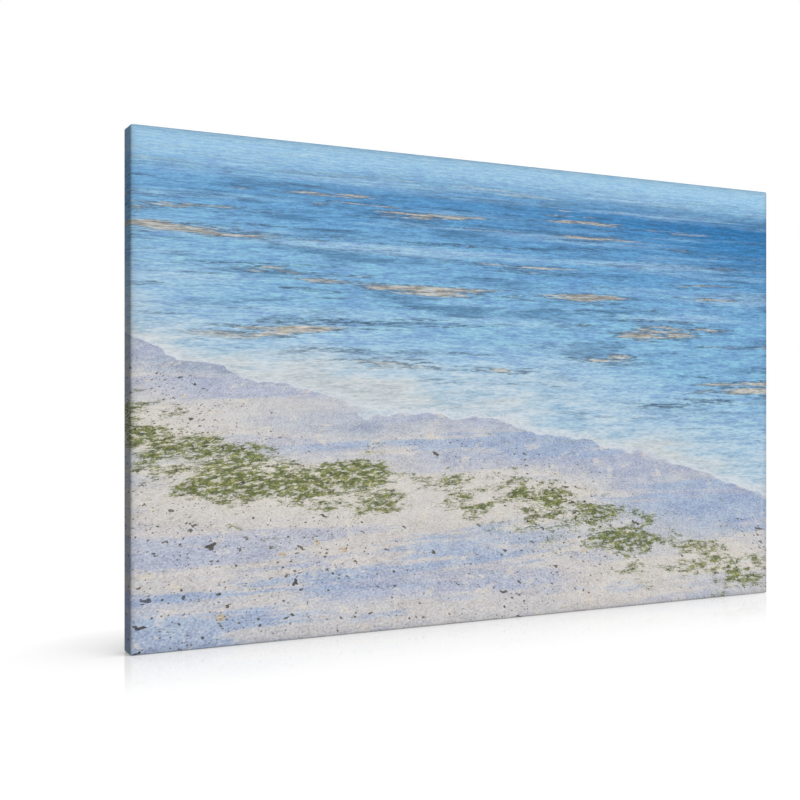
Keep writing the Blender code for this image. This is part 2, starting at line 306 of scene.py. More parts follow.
def cloth_patches():
    """Cells of the unrounded block as corner points and as places on the flat sheet, all facing out."""
    half = WIDTH / 2
    x, z = grid_cells(x_lines, z_lines)
    inside = (np.abs(x.mean(axis=1)) < half - EDGE_ROUND) & (
        np.abs(z.mean(axis=1) - HEIGHT / 2) < HEIGHT / 2 - EDGE_ROUND
    )
    rim_x, rim_z = x[~inside], z[~inside]
    yield np.stack([rim_x, np.full_like(rim_x, FACE_Y), rim_z], -1), np.stack([rim_x, rim_z], -1)

    in_opening = (np.abs(x.mean(axis=1)) < half - TURN_SIDE) & (
        (z.mean(axis=1) > TURN_BOTTOM) & (z.mean(axis=1) < HEIGHT - TURN_TOP)
    )
    x, z = x[~in_opening][:, ::-1], z[~in_opening][:, ::-1]
    side_u = np.sign(x) * (WIDTH + DEPTH - np.abs(x))
    in_top = ~beside_corner(x) & (z.mean(axis=1, keepdims=True) > HEIGHT - TURN_TOP)
    in_bottom = ~beside_corner(x) & (z.mean(axis=1, keepdims=True) < TURN_BOTTOM)
    u = np.where(in_top | in_bottom, x, side_u)
    v = np.where(in_top, 2 * HEIGHT + DEPTH - z, np.where(in_bottom, -DEPTH - z, z))
    yield np.stack([x, np.full_like(x, BACK_Y), z], -1), np.stack([u, v], -1)

    y, z = grid_cells(y_lines, z_lines)
    for side in (1, -1):
        y_side, z_side = y[:, ::side], z[:, ::side]
        u = side * (half + y_side - FACE_Y)
        yield np.stack([np.full_like(y_side, side * half), y_side, z_side], -1), np.stack([u, z_side], -1)

    x, y = grid_cells(x_lines, y_lines)
    for end, outward in ((HEIGHT, 1), (0.0, -1)):
        x_end, y_end = x[:, ::outward], y[:, ::outward]
        corner = beside_corner(x_end)
        u = np.where(corner, np.sign(x_end) * (half + y_end - FACE_Y), x_end)
        v = end + outward * np.where(corner, half - np.abs(x_end), y_end - FACE_Y)
        yield np.stack([x_end, y_end, np.full_like(x_end, end)], -1), np.stack([u, v], -1)


def face_polygons():
    """The flat face in wide cells, each with every grid line's end on the rim that it meets."""
    flat_x = x_lines[np.abs(x_lines) < WIDTH / 2 - EDGE_ROUND + CLOSE]
    flat_z = z_lines[np.abs(z_lines - HEIGHT / 2) < HEIGHT / 2 - EDGE_ROUND + CLOSE]
    x_picks = sorted(set(range(0, len(flat_x), FACE_EVERY)) | {len(flat_x) - 1})
    z_picks = sorted(set(range(0, len(flat_z), FACE_EVERY)) | {len(flat_z) - 1})
    for left, right in zip(x_picks, x_picks[1:]):
        for low, high in zip(z_picks, z_picks[1:]):
            low_row = range(left, right) if low == 0 else (left,)
            high_row = range(right, left, -1) if high == z_picks[-1] else (right,)
            right_column = range(low, high) if right == x_picks[-1] else (low,)
            left_column = range(high, low, -1) if left == 0 else (high,)
            corners = [(flat_x[i], flat_z[low]) for i in low_row]
            corners += [(flat_x[right], flat_z[i]) for i in right_column]
            corners += [(flat_x[i], flat_z[high]) for i in high_row]
            corners += [(flat_x[left], flat_z[i]) for i in left_column]
            yield corners


def wavy(along, size, lengths, phases):
    """A slow uneven wave, as of a hand-cut edge."""
    waves = [np.sin(2 * math.pi * along / length + phase) for length, phase in zip(lengths, phases)]
    return size * sum(waves)


def near_cut(distance):
    return 1 - smooth_rise(0.0, CUT_REACH, np.abs(distance))


def cut_shift(points):
    """How far the cut edges behind wander from straight, as moves in X and Z."""
    x, z = points[:, 0], points[:, 2]
    behind = points[:, 1] > BACK_Y - CLOSE
    top_move = wavy(x, *TOP_CUT_WAVE) * near_cut(z - HEIGHT + TURN_TOP)
    low_move = wavy(x, *LOW_CUT_WAVE) * near_cut(z - TURN_BOTTOM)
    over_bottom = smooth_rise(TURN_BOTTOM, TURN_BOTTOM + CUT_ENDS, z)
    under_top = 1 - smooth_rise(HEIGHT - TURN_TOP - CUT_ENDS, HEIGHT - TURN_TOP, z)
    inward = near_cut(np.abs(x) - WIDTH / 2 + TURN_SIDE)
    side_move = wavy(z + x, *SIDE_CUT_WAVE) * (over_bottom * under_top) * inward
    return np.stack([side_move * behind, np.zeros_like(x), (top_move + low_move) * behind], -1)


def in_from_fold(points):
    """Distances in from a fold's outer edge and from the cut edge of its strip."""
    x, _, z = points.T
    inward = WIDTH / 2 - np.abs(x) - FOLD_SET_IN
    return inward, np.where(z > HEIGHT / 2, z - (HEIGHT - TURN_TOP), TURN_BOTTOM - z)


def round_corners(points):
    """Moves that draw the square corners of the folds in to round ones, the cloth beside them following."""
    x, y, z = points.T
    inward, from_cut = in_from_fold(points)
    level = np.minimum(inward, from_cut)
    shrink = np.where(level > 0, level, -level * FOLD_CORNER / FOLD_SET_IN)
    radius = np.maximum(FOLD_CORNER - shrink, LEAST_RADIUS)
    past = np.minimum(np.abs(inward - from_cut), radius)
    angle = math.pi / 4 * (1 - past / radius)
    nearer, farther = radius * (1 - np.cos(angle)), radius * (1 - np.sin(angle)) - past
    x_move = -np.sign(x) * np.where(inward < from_cut, nearer, farther)
    z_move = np.where(z > HEIGHT / 2, 1, -1) * np.where(inward < from_cut, farther, nearer)
    return np.stack([x_move, np.zeros_like(x), z_move], -1) * (y > BACK_Y - CLOSE)[:, None]


def fold_lift(points):
    """Height of the folded layers at the corners, pressed flat where the picture stands on them."""
    x, y, z = points.T
    behind = y > BACK_Y - CLOSE
    inward, from_cut = in_from_fold(points)
    inside = np.minimum(inward, np.where(behind, from_cut, 1.0))
    roll = np.sqrt(np.clip(1 - (1 - np.clip(inside / FOLD_EDGE, 0, 1)) ** 2, 0, 1))
    fade = 1 - smooth_rise(*FOLD_FADES, WIDTH / 2 - np.abs(x))
    off_ends = np.minimum(z, HEIGHT - z) > CLOSE
    from_face = np.where(off_ends, np.where(behind, DEPTH, 0.0), y - FACE_Y)
    start = smooth_rise(0.0, FOLD_STARTS, from_face) * smooth_rise(0.0, FOLD_PRESSED, z)
    return FOLD_HEIGHT * roll * fade * start


def pucker_lift(points):
    """How the staples dent the strips behind, and how the cloth stands up a little between them."""
    x, y, z = points.T
    behind = y > BACK_Y - CLOSE
    gathered, nearest = np.zeros(len(points)), np.full(len(points), 1.0)
    for number, name in enumerate(STAPLE_NAMES):
        middle, way, _ = STAPLES[name]
        along = (x - middle[0]) * way[0] + (z - middle[1]) * way[1]
        aside = (z - middle[1]) * way[0] - (x - middle[0]) * way[1]
        past_end = np.maximum(np.abs(along) - CROWN_HALF, 0.0)
        away = np.hypot(past_end, aside)
        nearest = np.minimum(nearest, away)
        gathers = 0.45 + 0.55 * np.cos(GATHER_FOLDS * np.arctan2(aside, along) + 1.7 * number)
        gathered += PUCKER_HEIGHT * gathers * np.exp(-(((away - GATHER_RING) / GATHER_WIDE) ** 2))
    dip = STAPLE_DIP * np.exp(-((nearest / DIP_WIDE) ** 2))
    lift = gathered * smooth_rise(*GATHER_STARTS, nearest) - dip
    rim = np.minimum(np.minimum(z, HEIGHT - z), WIDTH / 2 - np.abs(x))
    cut = np.minimum(
        np.abs(np.abs(x) - WIDTH / 2 + TURN_SIDE),
        np.minimum(np.abs(z - TURN_BOTTOM), np.abs(z - HEIGHT + TURN_TOP)),
    )
    slack = SLACK_MEAN + wavy(x + 1.3 * z, *SLACK_WAVE)
    lift += CUT_CURL * slack * np.exp(-cut / CUT_CURL_WIDE)
    lift += SLACK_HEIGHT * slack * smooth_rise(*SLACK_STARTS, rim)
    return np.where(behind, lift * smooth_rise(*RIM_TAUT, rim), 0.0)


def on_the_frame(points):
    """Points of the square block, drawn in to the rounded edges and lifted along the cloth's normal."""
    moved = points + cut_shift(points) + round_corners(points)
    low = np.array([-WIDTH / 2, FACE_Y, 0.0]) + EDGE_ROUND
    high = np.array([WIDTH / 2, BACK_Y, HEIGHT]) - EDGE_ROUND
    core = np.clip(moved, low, high)
    outward = moved - core
    outward /= np.linalg.norm(outward, axis=1, keepdims=True)
    return core + outward * (EDGE_ROUND + fold_lift(points) + pucker_lift(points))[:, None]


polygons, flats = [], []
for cells, places in cloth_patches():
    polygons.extend(cells)
    flats.extend(places)
for corners in face_polygons():
    polygons.append(np.array([(x, FACE_Y, z) for x, z in corners]))
    flats.append(np.array(corners))
sizes = [len(polygon) for polygon in polygons]
block = np.concatenate(polygons)
rounded = np.round(block / CLOSE).astype(np.int64)
_, first, index = np.unique(rounded, axis=0, return_index=True, return_inverse=True)
starts = np.cumsum([0] + sizes)
cloth_faces = [index.reshape(-1)[start:end].tolist() for start, end in zip(starts, starts[1:])]
cloth_mesh = bpy.data.meshes.new("canvas_cloth")
cloth_mesh.from_pydata(on_the_frame(block[first]).tolist(), [], cloth_faces)
flat_map = cloth_mesh.uv_layers.new(name="flat_sheet")
flat_map.data.foreach_set("uv", np.concatenate(flats).astype(np.float32).ravel())
canvas = bpy.data.objects.new("canvas_cloth", cloth_mesh)
bpy.context.scene.collection.objects.link(canvas)


def finish_shape(piece, *modifiers):
    """Applies the piece's modifiers in order and leaves it deselected."""
    bpy.ops.object.select_all(action="DESELECT")
    piece.select_set(True)
    bpy.context.view_layer.objects.active = piece
    for modifier in modifiers:
        bpy.ops.object.modifier_apply(modifier=modifier.name)
    piece.select_set(False)


thickness = canvas.modifiers.new("thickness", "SOLIDIFY")
thickness.thickness = CLOTH
thickness.offset = -1.0
thickness.use_even_offset = True
thickness.material_offset = 1
thickness.material_offset_rim = 1


def ink(red, green, blue):
    """A colour given as the eye reads it, 0 to 255, as the linear colour that a shader takes."""
    shares = [part / 255 for part in (red, green, blue)]
    linear = [s / 12.92 if s <= 0.04045 else ((s + 0.055) / 1.055) ** 2.4 for s in shares]
    return (*linear, 1.0)


def blend(tree, share, under, over, how="MIX"):
    made = tree.nodes.new("ShaderNodeMix")
    made.data_type = "RGBA"
    made.blend_type = how
    made.clamp_result = False
    for socket, value in ((0, share), (6, under), (7, over)):
        if isinstance(value, bpy.types.NodeSocket):
            tree.links.new(value, made.inputs[socket])
        else:
            made.inputs[socket].default_value = value
    return made.outputs[2]


def at(tree, x, y, z=0.0):
    return put(tree, "ShaderNodeCombineXYZ", {0: x, 1: y, 2: z}).outputs[0]


def cloudy(tree, place, scale, detail=3.0, rough=0.5, warp=0.0):
    """Noise from about 0.25 to 0.75 at the given number of blotches to the metre."""
    inputs = {"Vector": place, "Scale": scale, "Detail": detail, "Roughness": rough, "Distortion": warp}
    return put(tree, "ShaderNodeTexNoise", inputs).outputs["Fac"]


def ramp(tree, value, stops):
    """A colour ramp through (place, colour) stops."""
    made = put(tree, "ShaderNodeValToRGB", {"Fac": value})
    elements = made.color_ramp.elements
    while len(elements) < len(stops):
        elements.new(0.5)
    for element, (place, colour) in zip(elements, stops):
        element.position = place
        element.color = colour
    return made.outputs["Color"]


HORIZON = 0.66
EYE_HEIGHT = 0.315
EYE_SPREAD = 1.11
SHORE_NEAR = 0.70
SHORE_SLANT = -0.46
BAY_PITCH = 8.0
BAY_START = 0.6
BAY_SIZE = 0.030
SHORE_WANDERS = ((3.2, 0.16), (15.0, 0.045), (70.0, 0.012))  # (turns to the metre, size)
STREAK_SQUEEZE = 0.32


class Beach:
    """The drawn beach, seen slantwise: each point of the flat sheet has a place on its ground."""

    def __init__(self, tree):
        self.sheet = put(tree, "ShaderNodeUVMap", uv_map="flat_sheet").outputs["UV"]
        parts = put(tree, "ShaderNodeSeparateXYZ", {0: self.sheet}).outputs
        self.u, self.v = parts[0], parts[1]
        self.far = reckon(tree, "DIVIDE", EYE_HEIGHT, reckon(tree, "SUBTRACT", HORIZON, self.v))
        self.across = reckon(tree, "MULTIPLY", reckon(tree, "MULTIPLY", self.u, self.far), EYE_SPREAD)
        self.ground = at(tree, self.across, self.far)
        line = reckon(tree, "MULTIPLY_ADD", self.across, SHORE_SLANT, SHORE_NEAR)
        bay = reckon(tree, "SINE", reckon(tree, "MULTIPLY_ADD", self.across, BAY_PITCH, BAY_START))
        line = reckon(tree, "MULTIPLY_ADD", bay, BAY_SIZE, line)
        for scale, size in SHORE_WANDERS:
            wander = reckon(tree, "SUBTRACT", cloudy(tree, self.ground, scale, 2.0), 0.5)
            line = reckon(tree, "MULTIPLY_ADD", wander, size, line)
        self.offshore = reckon(tree, "SUBTRACT", self.far, line)
        self.inland = reckon(tree, "MULTIPLY", self.offshore, -1.0)
        self.streaks = self.stretched(tree, STREAK_SQUEEZE)

    def stretched(self, tree, squeeze):
        """The ground squeezed across, so that what is drawn on it comes out long and low."""
        return at(tree, reckon(tree, "MULTIPLY", self.across, squeeze), self.far)


def grey_of(tree, value):
    return put(tree, "ShaderNodeCombineColor", {0: value, 1: value, 2: value}).outputs[0]


def sea_ink(tree, beach):
    """Milky shallows, mid blue with sand bars and weed streaks, a deep channel, pale glare far out."""
    stir = reckon(tree, "SUBTRACT", cloudy(tree, beach.streaks, 7.0, 4.0, 0.6), 0.5)
    depth = reckon(tree, "MULTIPLY_ADD", stir, 0.30, beach.offshore)
    water = ramp(
        tree,
        reckon(tree, "DIVIDE", depth, 2.0),
        (
            (0.000, ink(208, 216, 220)),
            (0.014, ink(190, 212, 227)),
            (0.050, ink(163, 200, 228)),
            (0.120, ink(138, 187, 222)),
            (0.260, ink(114, 169, 214)),
            (0.430, ink(70, 138, 194)),
            (0.580, ink(44, 114, 172)),
            (0.720, ink(122, 182, 222)),
            (0.860, ink(176, 216, 242)),
        ),
    )
    lanes = beach.stretched(tree, 0.10)
    lighter = rise(tree, cloudy(tree, lanes, 13.0, 5.0, 0.6, 0.2), 0.50, 0.66, 0.0, 0.45)
    water = blend(tree, lighter, water, ink(186, 214, 234))
    darker = rise(tree, cloudy(tree, beach.streaks, 16.0, 6.0, 0.66, 0.3), 0.51, 0.62, 0.0, 0.55)
    darker = reckon(tree, "MULTIPLY", darker, rise(tree, beach.offshore, 0.05, 0.20))
    water = blend(tree, darker, water, ink(66, 112, 154))
    shoals = cloudy(tree, beach.stretched(tree, 0.17), 15.0, 9.0, 0.66, 0.2)
    off_shore = rise(tree, beach.offshore, 0.02, 0.10)
    reach = reckon(tree, "MULTIPLY", off_shore, rise(tree, beach.offshore, 0.8, 1.1, 1.0, 0.0))
    crumbs = rise(tree, cloudy(tree, beach.streaks, 210.0, 5.0, 0.75), 0.44, 0.54)
    outer, inner = rise(tree, shoals, 0.555, 0.585), rise(tree, shoals, 0.60, 0.615, 1.0, 0.0)
    fringe = reckon(tree, "MULTIPLY", outer, inner)
    rafts = rise(tree, cloudy(tree, lanes, 34.0, 6.0, 0.66, 0.2), 0.565, 0.61)
    weeds = reckon(tree, "MULTIPLY", reckon(tree, "MAXIMUM", fringe, rafts), crumbs)
    weeds = reckon(tree, "MULTIPLY", reckon(tree, "MULTIPLY", weeds, reach), 0.75)
    water = blend(tree, weeds, water, ink(66, 90, 116))
    bars = reckon(tree, "MULTIPLY", rise(tree, shoals, 0.59, 0.615, 0.0, 0.9), reach)
    bars = reckon(tree, "MULTIPLY", bars, rise(tree, crumbs, 0.0, 1.0, 1.0, 0.7))
    coarse = cloudy(tree, beach.streaks, 120.0, 4.0, 0.7)
    gravel = ramp(tree, coarse, ((0.40, ink(150, 138, 116)), (0.56, ink(212, 200, 180))))
    water = blend(tree, bars, water, gravel)
    water = blend(tree, rise(tree, beach.far, 1.45, 1.85, 0.0, 0.88), water, ink(172, 214, 242))
    for scale, share in ((60.0, 0.28), (190.0, 0.34), (520.0, 0.36)):
        ripple = rise(tree, cloudy(tree, beach.streaks, scale, 3.0, 0.6, 0.2), 0.34, 0.66, 0.20, 0.80)
        water = blend(tree, share, water, grey_of(tree, ripple), "OVERLAY")
    return water


def sand_ink(tree, beach):
    """Pale dry sand, with wet streaks and pools in it that mirror the sky."""
    stir = reckon(tree, "SUBTRACT", cloudy(tree, beach.streaks, 9.0, 4.0, 0.6), 0.5)
    height = reckon(tree, "MULTIPLY_ADD", stir, 0.20, beach.inland)
    sand = ramp(
        tree,
        reckon(tree, "DIVIDE", height, 0.40),
        (
            (0.00, ink(164, 176, 197)),
            (0.06, ink(192, 198, 210)),
            (0.16, ink(214, 212, 213)),
            (0.50, ink(216, 211, 208)),
            (0.80, ink(196, 200, 212)),
        ),
    )
    lanes = beach.stretched(tree, 0.15)
    damp = rise(tree, cloudy(tree, lanes, 24.0, 7.0, 0.66, 0.3), 0.48, 0.58, 0.0, 0.8)
    sand = blend(tree, damp, sand, ink(180, 188, 211))
    pools = rise(tree, cloudy(tree, lanes, 14.0, 7.0, 0.64, 0.3), 0.55, 0.59, 0.0, 0.75)
    sand = blend(tree, pools, sand, ink(164, 184, 214))
    crust = rise(tree, cloudy(tree, beach.ground, 42.0, 9.0, 0.78, 0.3), 0.56, 0.60, 0.0, 0.55)
    return blend(tree, crust, sand, ink(234, 226, 214))


def foam_share(tree, beach):
    """The thin lace of foam at the water's edge."""
    warp = reckon(tree, "SUBTRACT", cloudy(tree, beach.ground, 60.0, 3.0), 0.5)
    warp = reckon(tree, "MULTIPLY", warp, 0.02)
    moved = at(tree, reckon(tree, "ADD", beach.across, warp), reckon(tree, "SUBTRACT", beach.far, warp))
    lace = None
    for scale, wide, strength in ((110.0, 0.16, 1.0), (330.0, 0.14, 0.7)):
        inputs = {"Vector": moved, "Scale": scale}
        cell = put(tree, "ShaderNodeTexVoronoi", inputs, feature="DISTANCE_TO_EDGE").outputs
        net = rise(tree, cell["Distance"], 0.0, wide, strength, 0.0)
        lace = net if lace is None else reckon(tree, "MAXIMUM", lace, net)
    torn = rise(tree, cloudy(tree, beach.ground, 420.0, 4.0, 0.7), 0.38, 0.52)
    face = rise(tree, beach.offshore, -0.003, 0.0)
    trail = reckon(tree, "MULTIPLY", rise(tree, beach.offshore, 0.0, 0.014, 1.0, 0.0), lace)
    crest = reckon(tree, "MULTIPLY", rise(tree, beach.offshore, 0.0, 0.003, 1.0, 0.0), torn)
    broken = rise(tree, cloudy(tree, beach.ground, 9.0, 4.0, 0.6), 0.36, 0.50, 0.15, 0.8)
    share = reckon(tree, "MULTIPLY", reckon(tree, "MAXIMUM", trail, crest), face)
    return reckon(tree, "MULTIPLY", share, broken)


def weed_over(tree, beach, ground):
    """A torn tide line of green weed with dark bits in it, and thin tufts on both sides of it."""
    patchy = cloudy(tree, beach.streaks, 5.0, 3.0, 0.5)
    centre = reckon(tree, "SUBTRACT", beach.inland, reckon(tree, "MULTIPLY_ADD", patchy, 0.10, 0.07))
    band = rise(tree, reckon(tree, "ABSOLUTE", centre), 0.0, 0.085, 1.0, 0.0)
    run = rise(tree, cloudy(tree, at(tree, beach.across, 5.0), 4.5, 2.0), 0.36, 0.64)
    cover = reckon(tree, "MULTIPLY", band, run)
    ground = blend(tree, reckon(tree, "MULTIPLY", cover, 0.8), ground, ink(230, 223, 210))
    spot = beach.stretched(tree, 0.6)
    tufts = cloudy(tree, spot, 36.0, 12.0, 0.82, 0.2)
    share = rise(tree, reckon(tree, "MULTIPLY_ADD", cover, 0.20, tufts), 0.60, 0.66, 0.0, 0.92)
    holes = rise(tree, cloudy(tree, spot, 230.0, 3.0, 0.7), 0.40, 0.50, 0.25, 1.0)
    share = reckon(tree, "MULTIPLY", share, holes)
    share = reckon(tree, "MULTIPLY", share, rise(tree, beach.inland, 0.006, 0.02))
    leaf = ramp(
        tree,
        cloudy(tree, beach.ground, 150.0, 6.0, 0.8),
        (
            (0.34, ink(44, 54, 28)),
            (0.43, ink(74, 88, 34)),
            (0.52, ink(106, 118, 48)),
            (0.60, ink(154, 154, 86)),
            (0.68, ink(200, 192, 150)),
        ),
    )
    return blend(tree, share, ground, leaf)


def bits_over(tree, beach, ground):
    """Pebbles, shells and driftwood bits on the sand: a few large, many small, thicker in some places."""
    sizes = (
        # cells to the metre, smallest and largest radius in a cell, share of empty cells,
        # squeeze across (below 1 makes a bit long and low), pale or dark
        (21.0, 0.03, 0.07, 0.88, 0.70, False),
        (44.0, 0.04, 0.11, 0.70, 0.80, False),
        (58.0, 0.05, 0.15, 0.84, 0.85, True),
        (100.0, 0.06, 0.18, 0.68, 1.00, False),
        (210.0, 0.12, 0.28, 0.82, 1.10, False),
        (430.0, 0.20, 0.38, 0.87, 1.20, False),
    )
    litter = rise(tree, cloudy(tree, beach.ground, 5.0, 3.0), 0.40, 0.60, 0.45, 1.0)
    for number, (scale, low, high, empty, squeeze, pale) in enumerate(sizes):
        warp = reckon(tree, "SUBTRACT", cloudy(tree, beach.ground, 3 * scale, 2.0), 0.5)
        warp = reckon(tree, "MULTIPLY", warp, 0.7 / scale)
        spot_x = reckon(tree, "ADD", beach.across, warp)
        spot_x = reckon(tree, "MULTIPLY_ADD", spot_x, squeeze, 1.9 * number)
        spot = at(tree, spot_x, reckon(tree, "SUBTRACT", beach.far, warp))
        inputs = {"Vector": spot, "Scale": scale}
        cell = put(tree, "ShaderNodeTexVoronoi", inputs, voronoi_dimensions="2D").outputs
        pick = put(tree, "ShaderNodeSeparateXYZ", {0: cell["Color"]}).outputs
        size = reckon(tree, "MULTIPLY", rise(tree, pick[1], 0.0, 1.0, low, high), litter)
        share = rise(tree, reckon(tree, "SUBTRACT", size, cell["Distance"]), 0.0, 0.0004 * scale, 0.0, 0.90)
        share = reckon(tree, "MULTIPLY", share, rise(tree, pick[0], empty, empty + 0.02))
        share = reckon(tree, "MULTIPLY", share, rise(tree, beach.inland, 0.016, 0.04))
        if pale:
            stops = ((0.0, ink(236, 232, 224)), (0.6, ink(222, 210, 190)), (1.0, ink(196, 178, 148)))
        else:
            stops = (
                (0.00, ink(46, 46, 44)),
                (0.40, ink(84, 76, 62)),
                (0.75, ink(112, 100, 80)),
                (1.00, ink(66, 74, 88)),
            )
        ground = blend(tree, share, ground, ramp(tree, pick[2], stops))
    return ground


THREAD_PITCH = 0.00062
WEAVE_DEPTH = 0.00012
SLACK_DEPTH = 0.001


def weave_height(tree, beach):
    """Plain weave: threads that pass over and under each other, some of them thicker than the rest."""
    threads = []
    for number, (along, over_at) in enumerate(((beach.v, beach.u), (beach.u, beach.v))):
        place = at(tree, over_at, reckon(tree, "MULTIPLY", along, 0.05), 4.0 * number)
        slub = reckon(tree, "SUBTRACT", cloudy(tree, place, 300.0, 2.0), 0.5)
        count = reckon(tree, "MULTIPLY", over_at, math.pi / THREAD_PITCH)
        threads.append(reckon(tree, "MULTIPLY_ADD", slub, 1.6, count))
    warp_round, weft_round = [reckon(tree, "ABSOLUTE", reckon(tree, "SINE", thread)) for thread in threads]
    warp_turn, weft_turn = [reckon(tree, "COSINE", thread) for thread in threads]
    over = reckon(tree, "MULTIPLY", warp_turn, weft_turn)
    warp_top = reckon(tree, "MULTIPLY", warp_round, reckon(tree, "MULTIPLY_ADD", over, 0.35, 0.65))
    weft_top = reckon(tree, "MULTIPLY", weft_round, reckon(tree, "MULTIPLY_ADD", over, -0.35, 0.65))
    return reckon(tree, "MAXIMUM", warp_top, weft_top)


def cloth_bump(tree, beach, strength):
    """The threads as relief, on a sheet that is not quite flat."""
    sag = {"Strength": 0.2, "Distance": SLACK_DEPTH, "Height": cloudy(tree, beach.sheet, 22.0, 2.0)}
    sagging = put(tree, "ShaderNodeBump", sag).outputs[0]
    weave = {"Strength": strength, "Distance": WEAVE_DEPTH, "Height": weave_height(tree, beach)}
    return put(tree, "ShaderNodeBump", {**weave, "Normal": sagging})


# Painted shade at the turns over the edges: how fast it fades, how dark it gets, and how much faster it
# fades on the sides.
PAINTED_TURN_SHADE_FADES = 0.0036
PAINTED_TURN_SHADE = 0.36
PAINTED_SHADE_SIDE_FASTER = 4.0


def printed_cloth():
    """The shore printed on a white ground, with painted shade darkening it where the cloth turns over the
    edges.
    """
    finish = bpy.data.materials.new("printed_cloth")
    finish.use_nodes = True
    tree = finish.node_tree
    shader = tree.nodes["Principled BSDF"]
    beach = Beach(tree)
    land = bits_over(tree, beach, weed_over(tree, beach, sand_ink(tree, beach)))
    for scale, share in ((45.0, 0.26), (170.0, 0.30), (620.0, 0.75)):
        grain = rise(tree, cloudy(tree, beach.ground, scale, 3.0, 0.6), 0.34, 0.66, 0.33, 0.67)
        land = blend(tree, share, land, grey_of(tree, grain), "OVERLAY")
    picture = blend(tree, rise(tree, beach.inland, -0.006, 0.004), sea_ink(tree, beach), land)
    picture = blend(tree, foam_share(tree, beach), picture, ink(232, 238, 242))
    # Painted shade: the print is blended towards a dark blue-grey near each turn over the edges.
    from_side = reckon(tree, "SUBTRACT", WIDTH / 2, reckon(tree, "ABSOLUTE", beach.u))
    from_end = reckon(tree, "MINIMUM", beach.v, reckon(tree, "SUBTRACT", HEIGHT, beach.v))
    on_face = reckon(tree, "MINIMUM", from_side, from_end)
    on_side = reckon(tree, "MULTIPLY", on_face, -PAINTED_SHADE_SIDE_FASTER)
    from_turn = reckon(tree, "MAXIMUM", on_face, on_side)
    painted_shade_share = reckon(tree, "EXPONENT", reckon(tree, "DIVIDE", from_turn, -PAINTED_TURN_SHADE_FADES))
    picture = blend(tree, reckon(tree, "MULTIPLY", painted_shade_share, PAINTED_TURN_SHADE), picture, ink(40, 52, 66))
    tree.links.new(picture, shader.inputs["Base Color"])
    tree.links.new(cloth_bump(tree, beach, 0.6).outputs[0], shader.inputs["Normal"])
    shader.inputs["Roughness"].default_value = 0.72
    shader.inputs["Specular IOR Level"].default_value = 0.15
    return finish


def bare_cloth():
    """The unprinted inner side, white ground showing through the threads."""
    finish = bpy.data.materials.new("bare_cloth")
    finish.use_nodes = True
    tree = finish.node_tree
    shader = tree.nodes["Principled BSDF"]
    beach = Beach(tree)
    warp_tone = cloudy(tree, at(tree, beach.u, reckon(tree, "MULTIPLY", beach.v, 0.04)), 800.0, 2.0)
    weft_tone = cloudy(tree, at(tree, reckon(tree, "MULTIPLY", beach.u, 0.04), beach.v), 800.0, 2.0)
    tint = rise(tree, reckon(tree, "ADD", warp_tone, weft_tone), 0.7, 1.3)
    colour = blend(tree, tint, ink(227, 225, 228), ink(234, 233, 236))
    tree.links.new(colour, shader.inputs["Base Color"])
    tree.links.new(cloth_bump(tree, beach, 0.7).outputs[0], shader.inputs["Normal"])
    shader.inputs["Roughness"].default_value = 0.9
    shader.inputs["Specular IOR Level"].default_value = 0.2
    return finish


cloth_mesh.materials.append(printed_cloth())
cloth_mesh.materials.append(bare_cloth())
for polygon in cloth_mesh.polygons:
    polygon.use_smooth = True
even_light = canvas.modifiers.new("even_light", "WEIGHTED_NORMAL")
even_light.weight = 60
even_light.keep_sharp = True
finish_shape(canvas, thickness, even_light)
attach(canvas, "root")
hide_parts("canvas")


# Stretcher bars: planed pine, mitred and tongued at the corners, glued up from finger-jointed lengths.
# Each length comes from its own plank, so it has its own colour and its own run of growth rings.
# Its shape is the solid's own.
RING_PITCH = 0.0042
GRAIN_DEPTH = 0.00025
CREAM, CREAM_LATE = ink(229, 213, 178), ink(205, 178, 132)
STRAW, STRAW_LATE = ink(222, 202, 162), ink(192, 160, 112)
BROWN, BROWN_LATE = ink(190, 151, 110), ink(168, 112, 64)
BAR_WOODS = {
    # name: (upright, the pith's place across the bar and in depth, both outside the bar's own section,
    #        taper of the rings along the plank, early wood, late wood, strength of the figure)
    "right_bar_upper": (True, 0.445, -0.050, 0.010, CREAM, CREAM_LATE, 0.55),
    "right_bar_middle": (True, 0.384, -0.034, 0.055, BROWN, BROWN_LATE, 1.0),
    "right_bar_lower": (True, 0.350, 0.060, 0.010, CREAM, CREAM_LATE, 0.6),
    "left_bar_upper": (True, -0.330, -0.080, 0.015, STRAW, STRAW_LATE, 0.6),
    "left_bar_lower": (True, -0.376, -0.045, 0.035, CREAM, CREAM_LATE, 0.75),
    "top_bar_left": (False, 0.570, -0.060, 0.012, CREAM, CREAM_LATE, 0.6),
    "top_bar_right": (False, 0.478, -0.050, 0.030, STRAW, STRAW_LATE, 0.8),
    "bottom_bar_left": (False, -0.045, -0.070, 0.012, STRAW, STRAW_LATE, 0.6),
    "bottom_bar_right": (False, 0.016, -0.040, 0.030, CREAM, CREAM_LATE, 0.8),
}


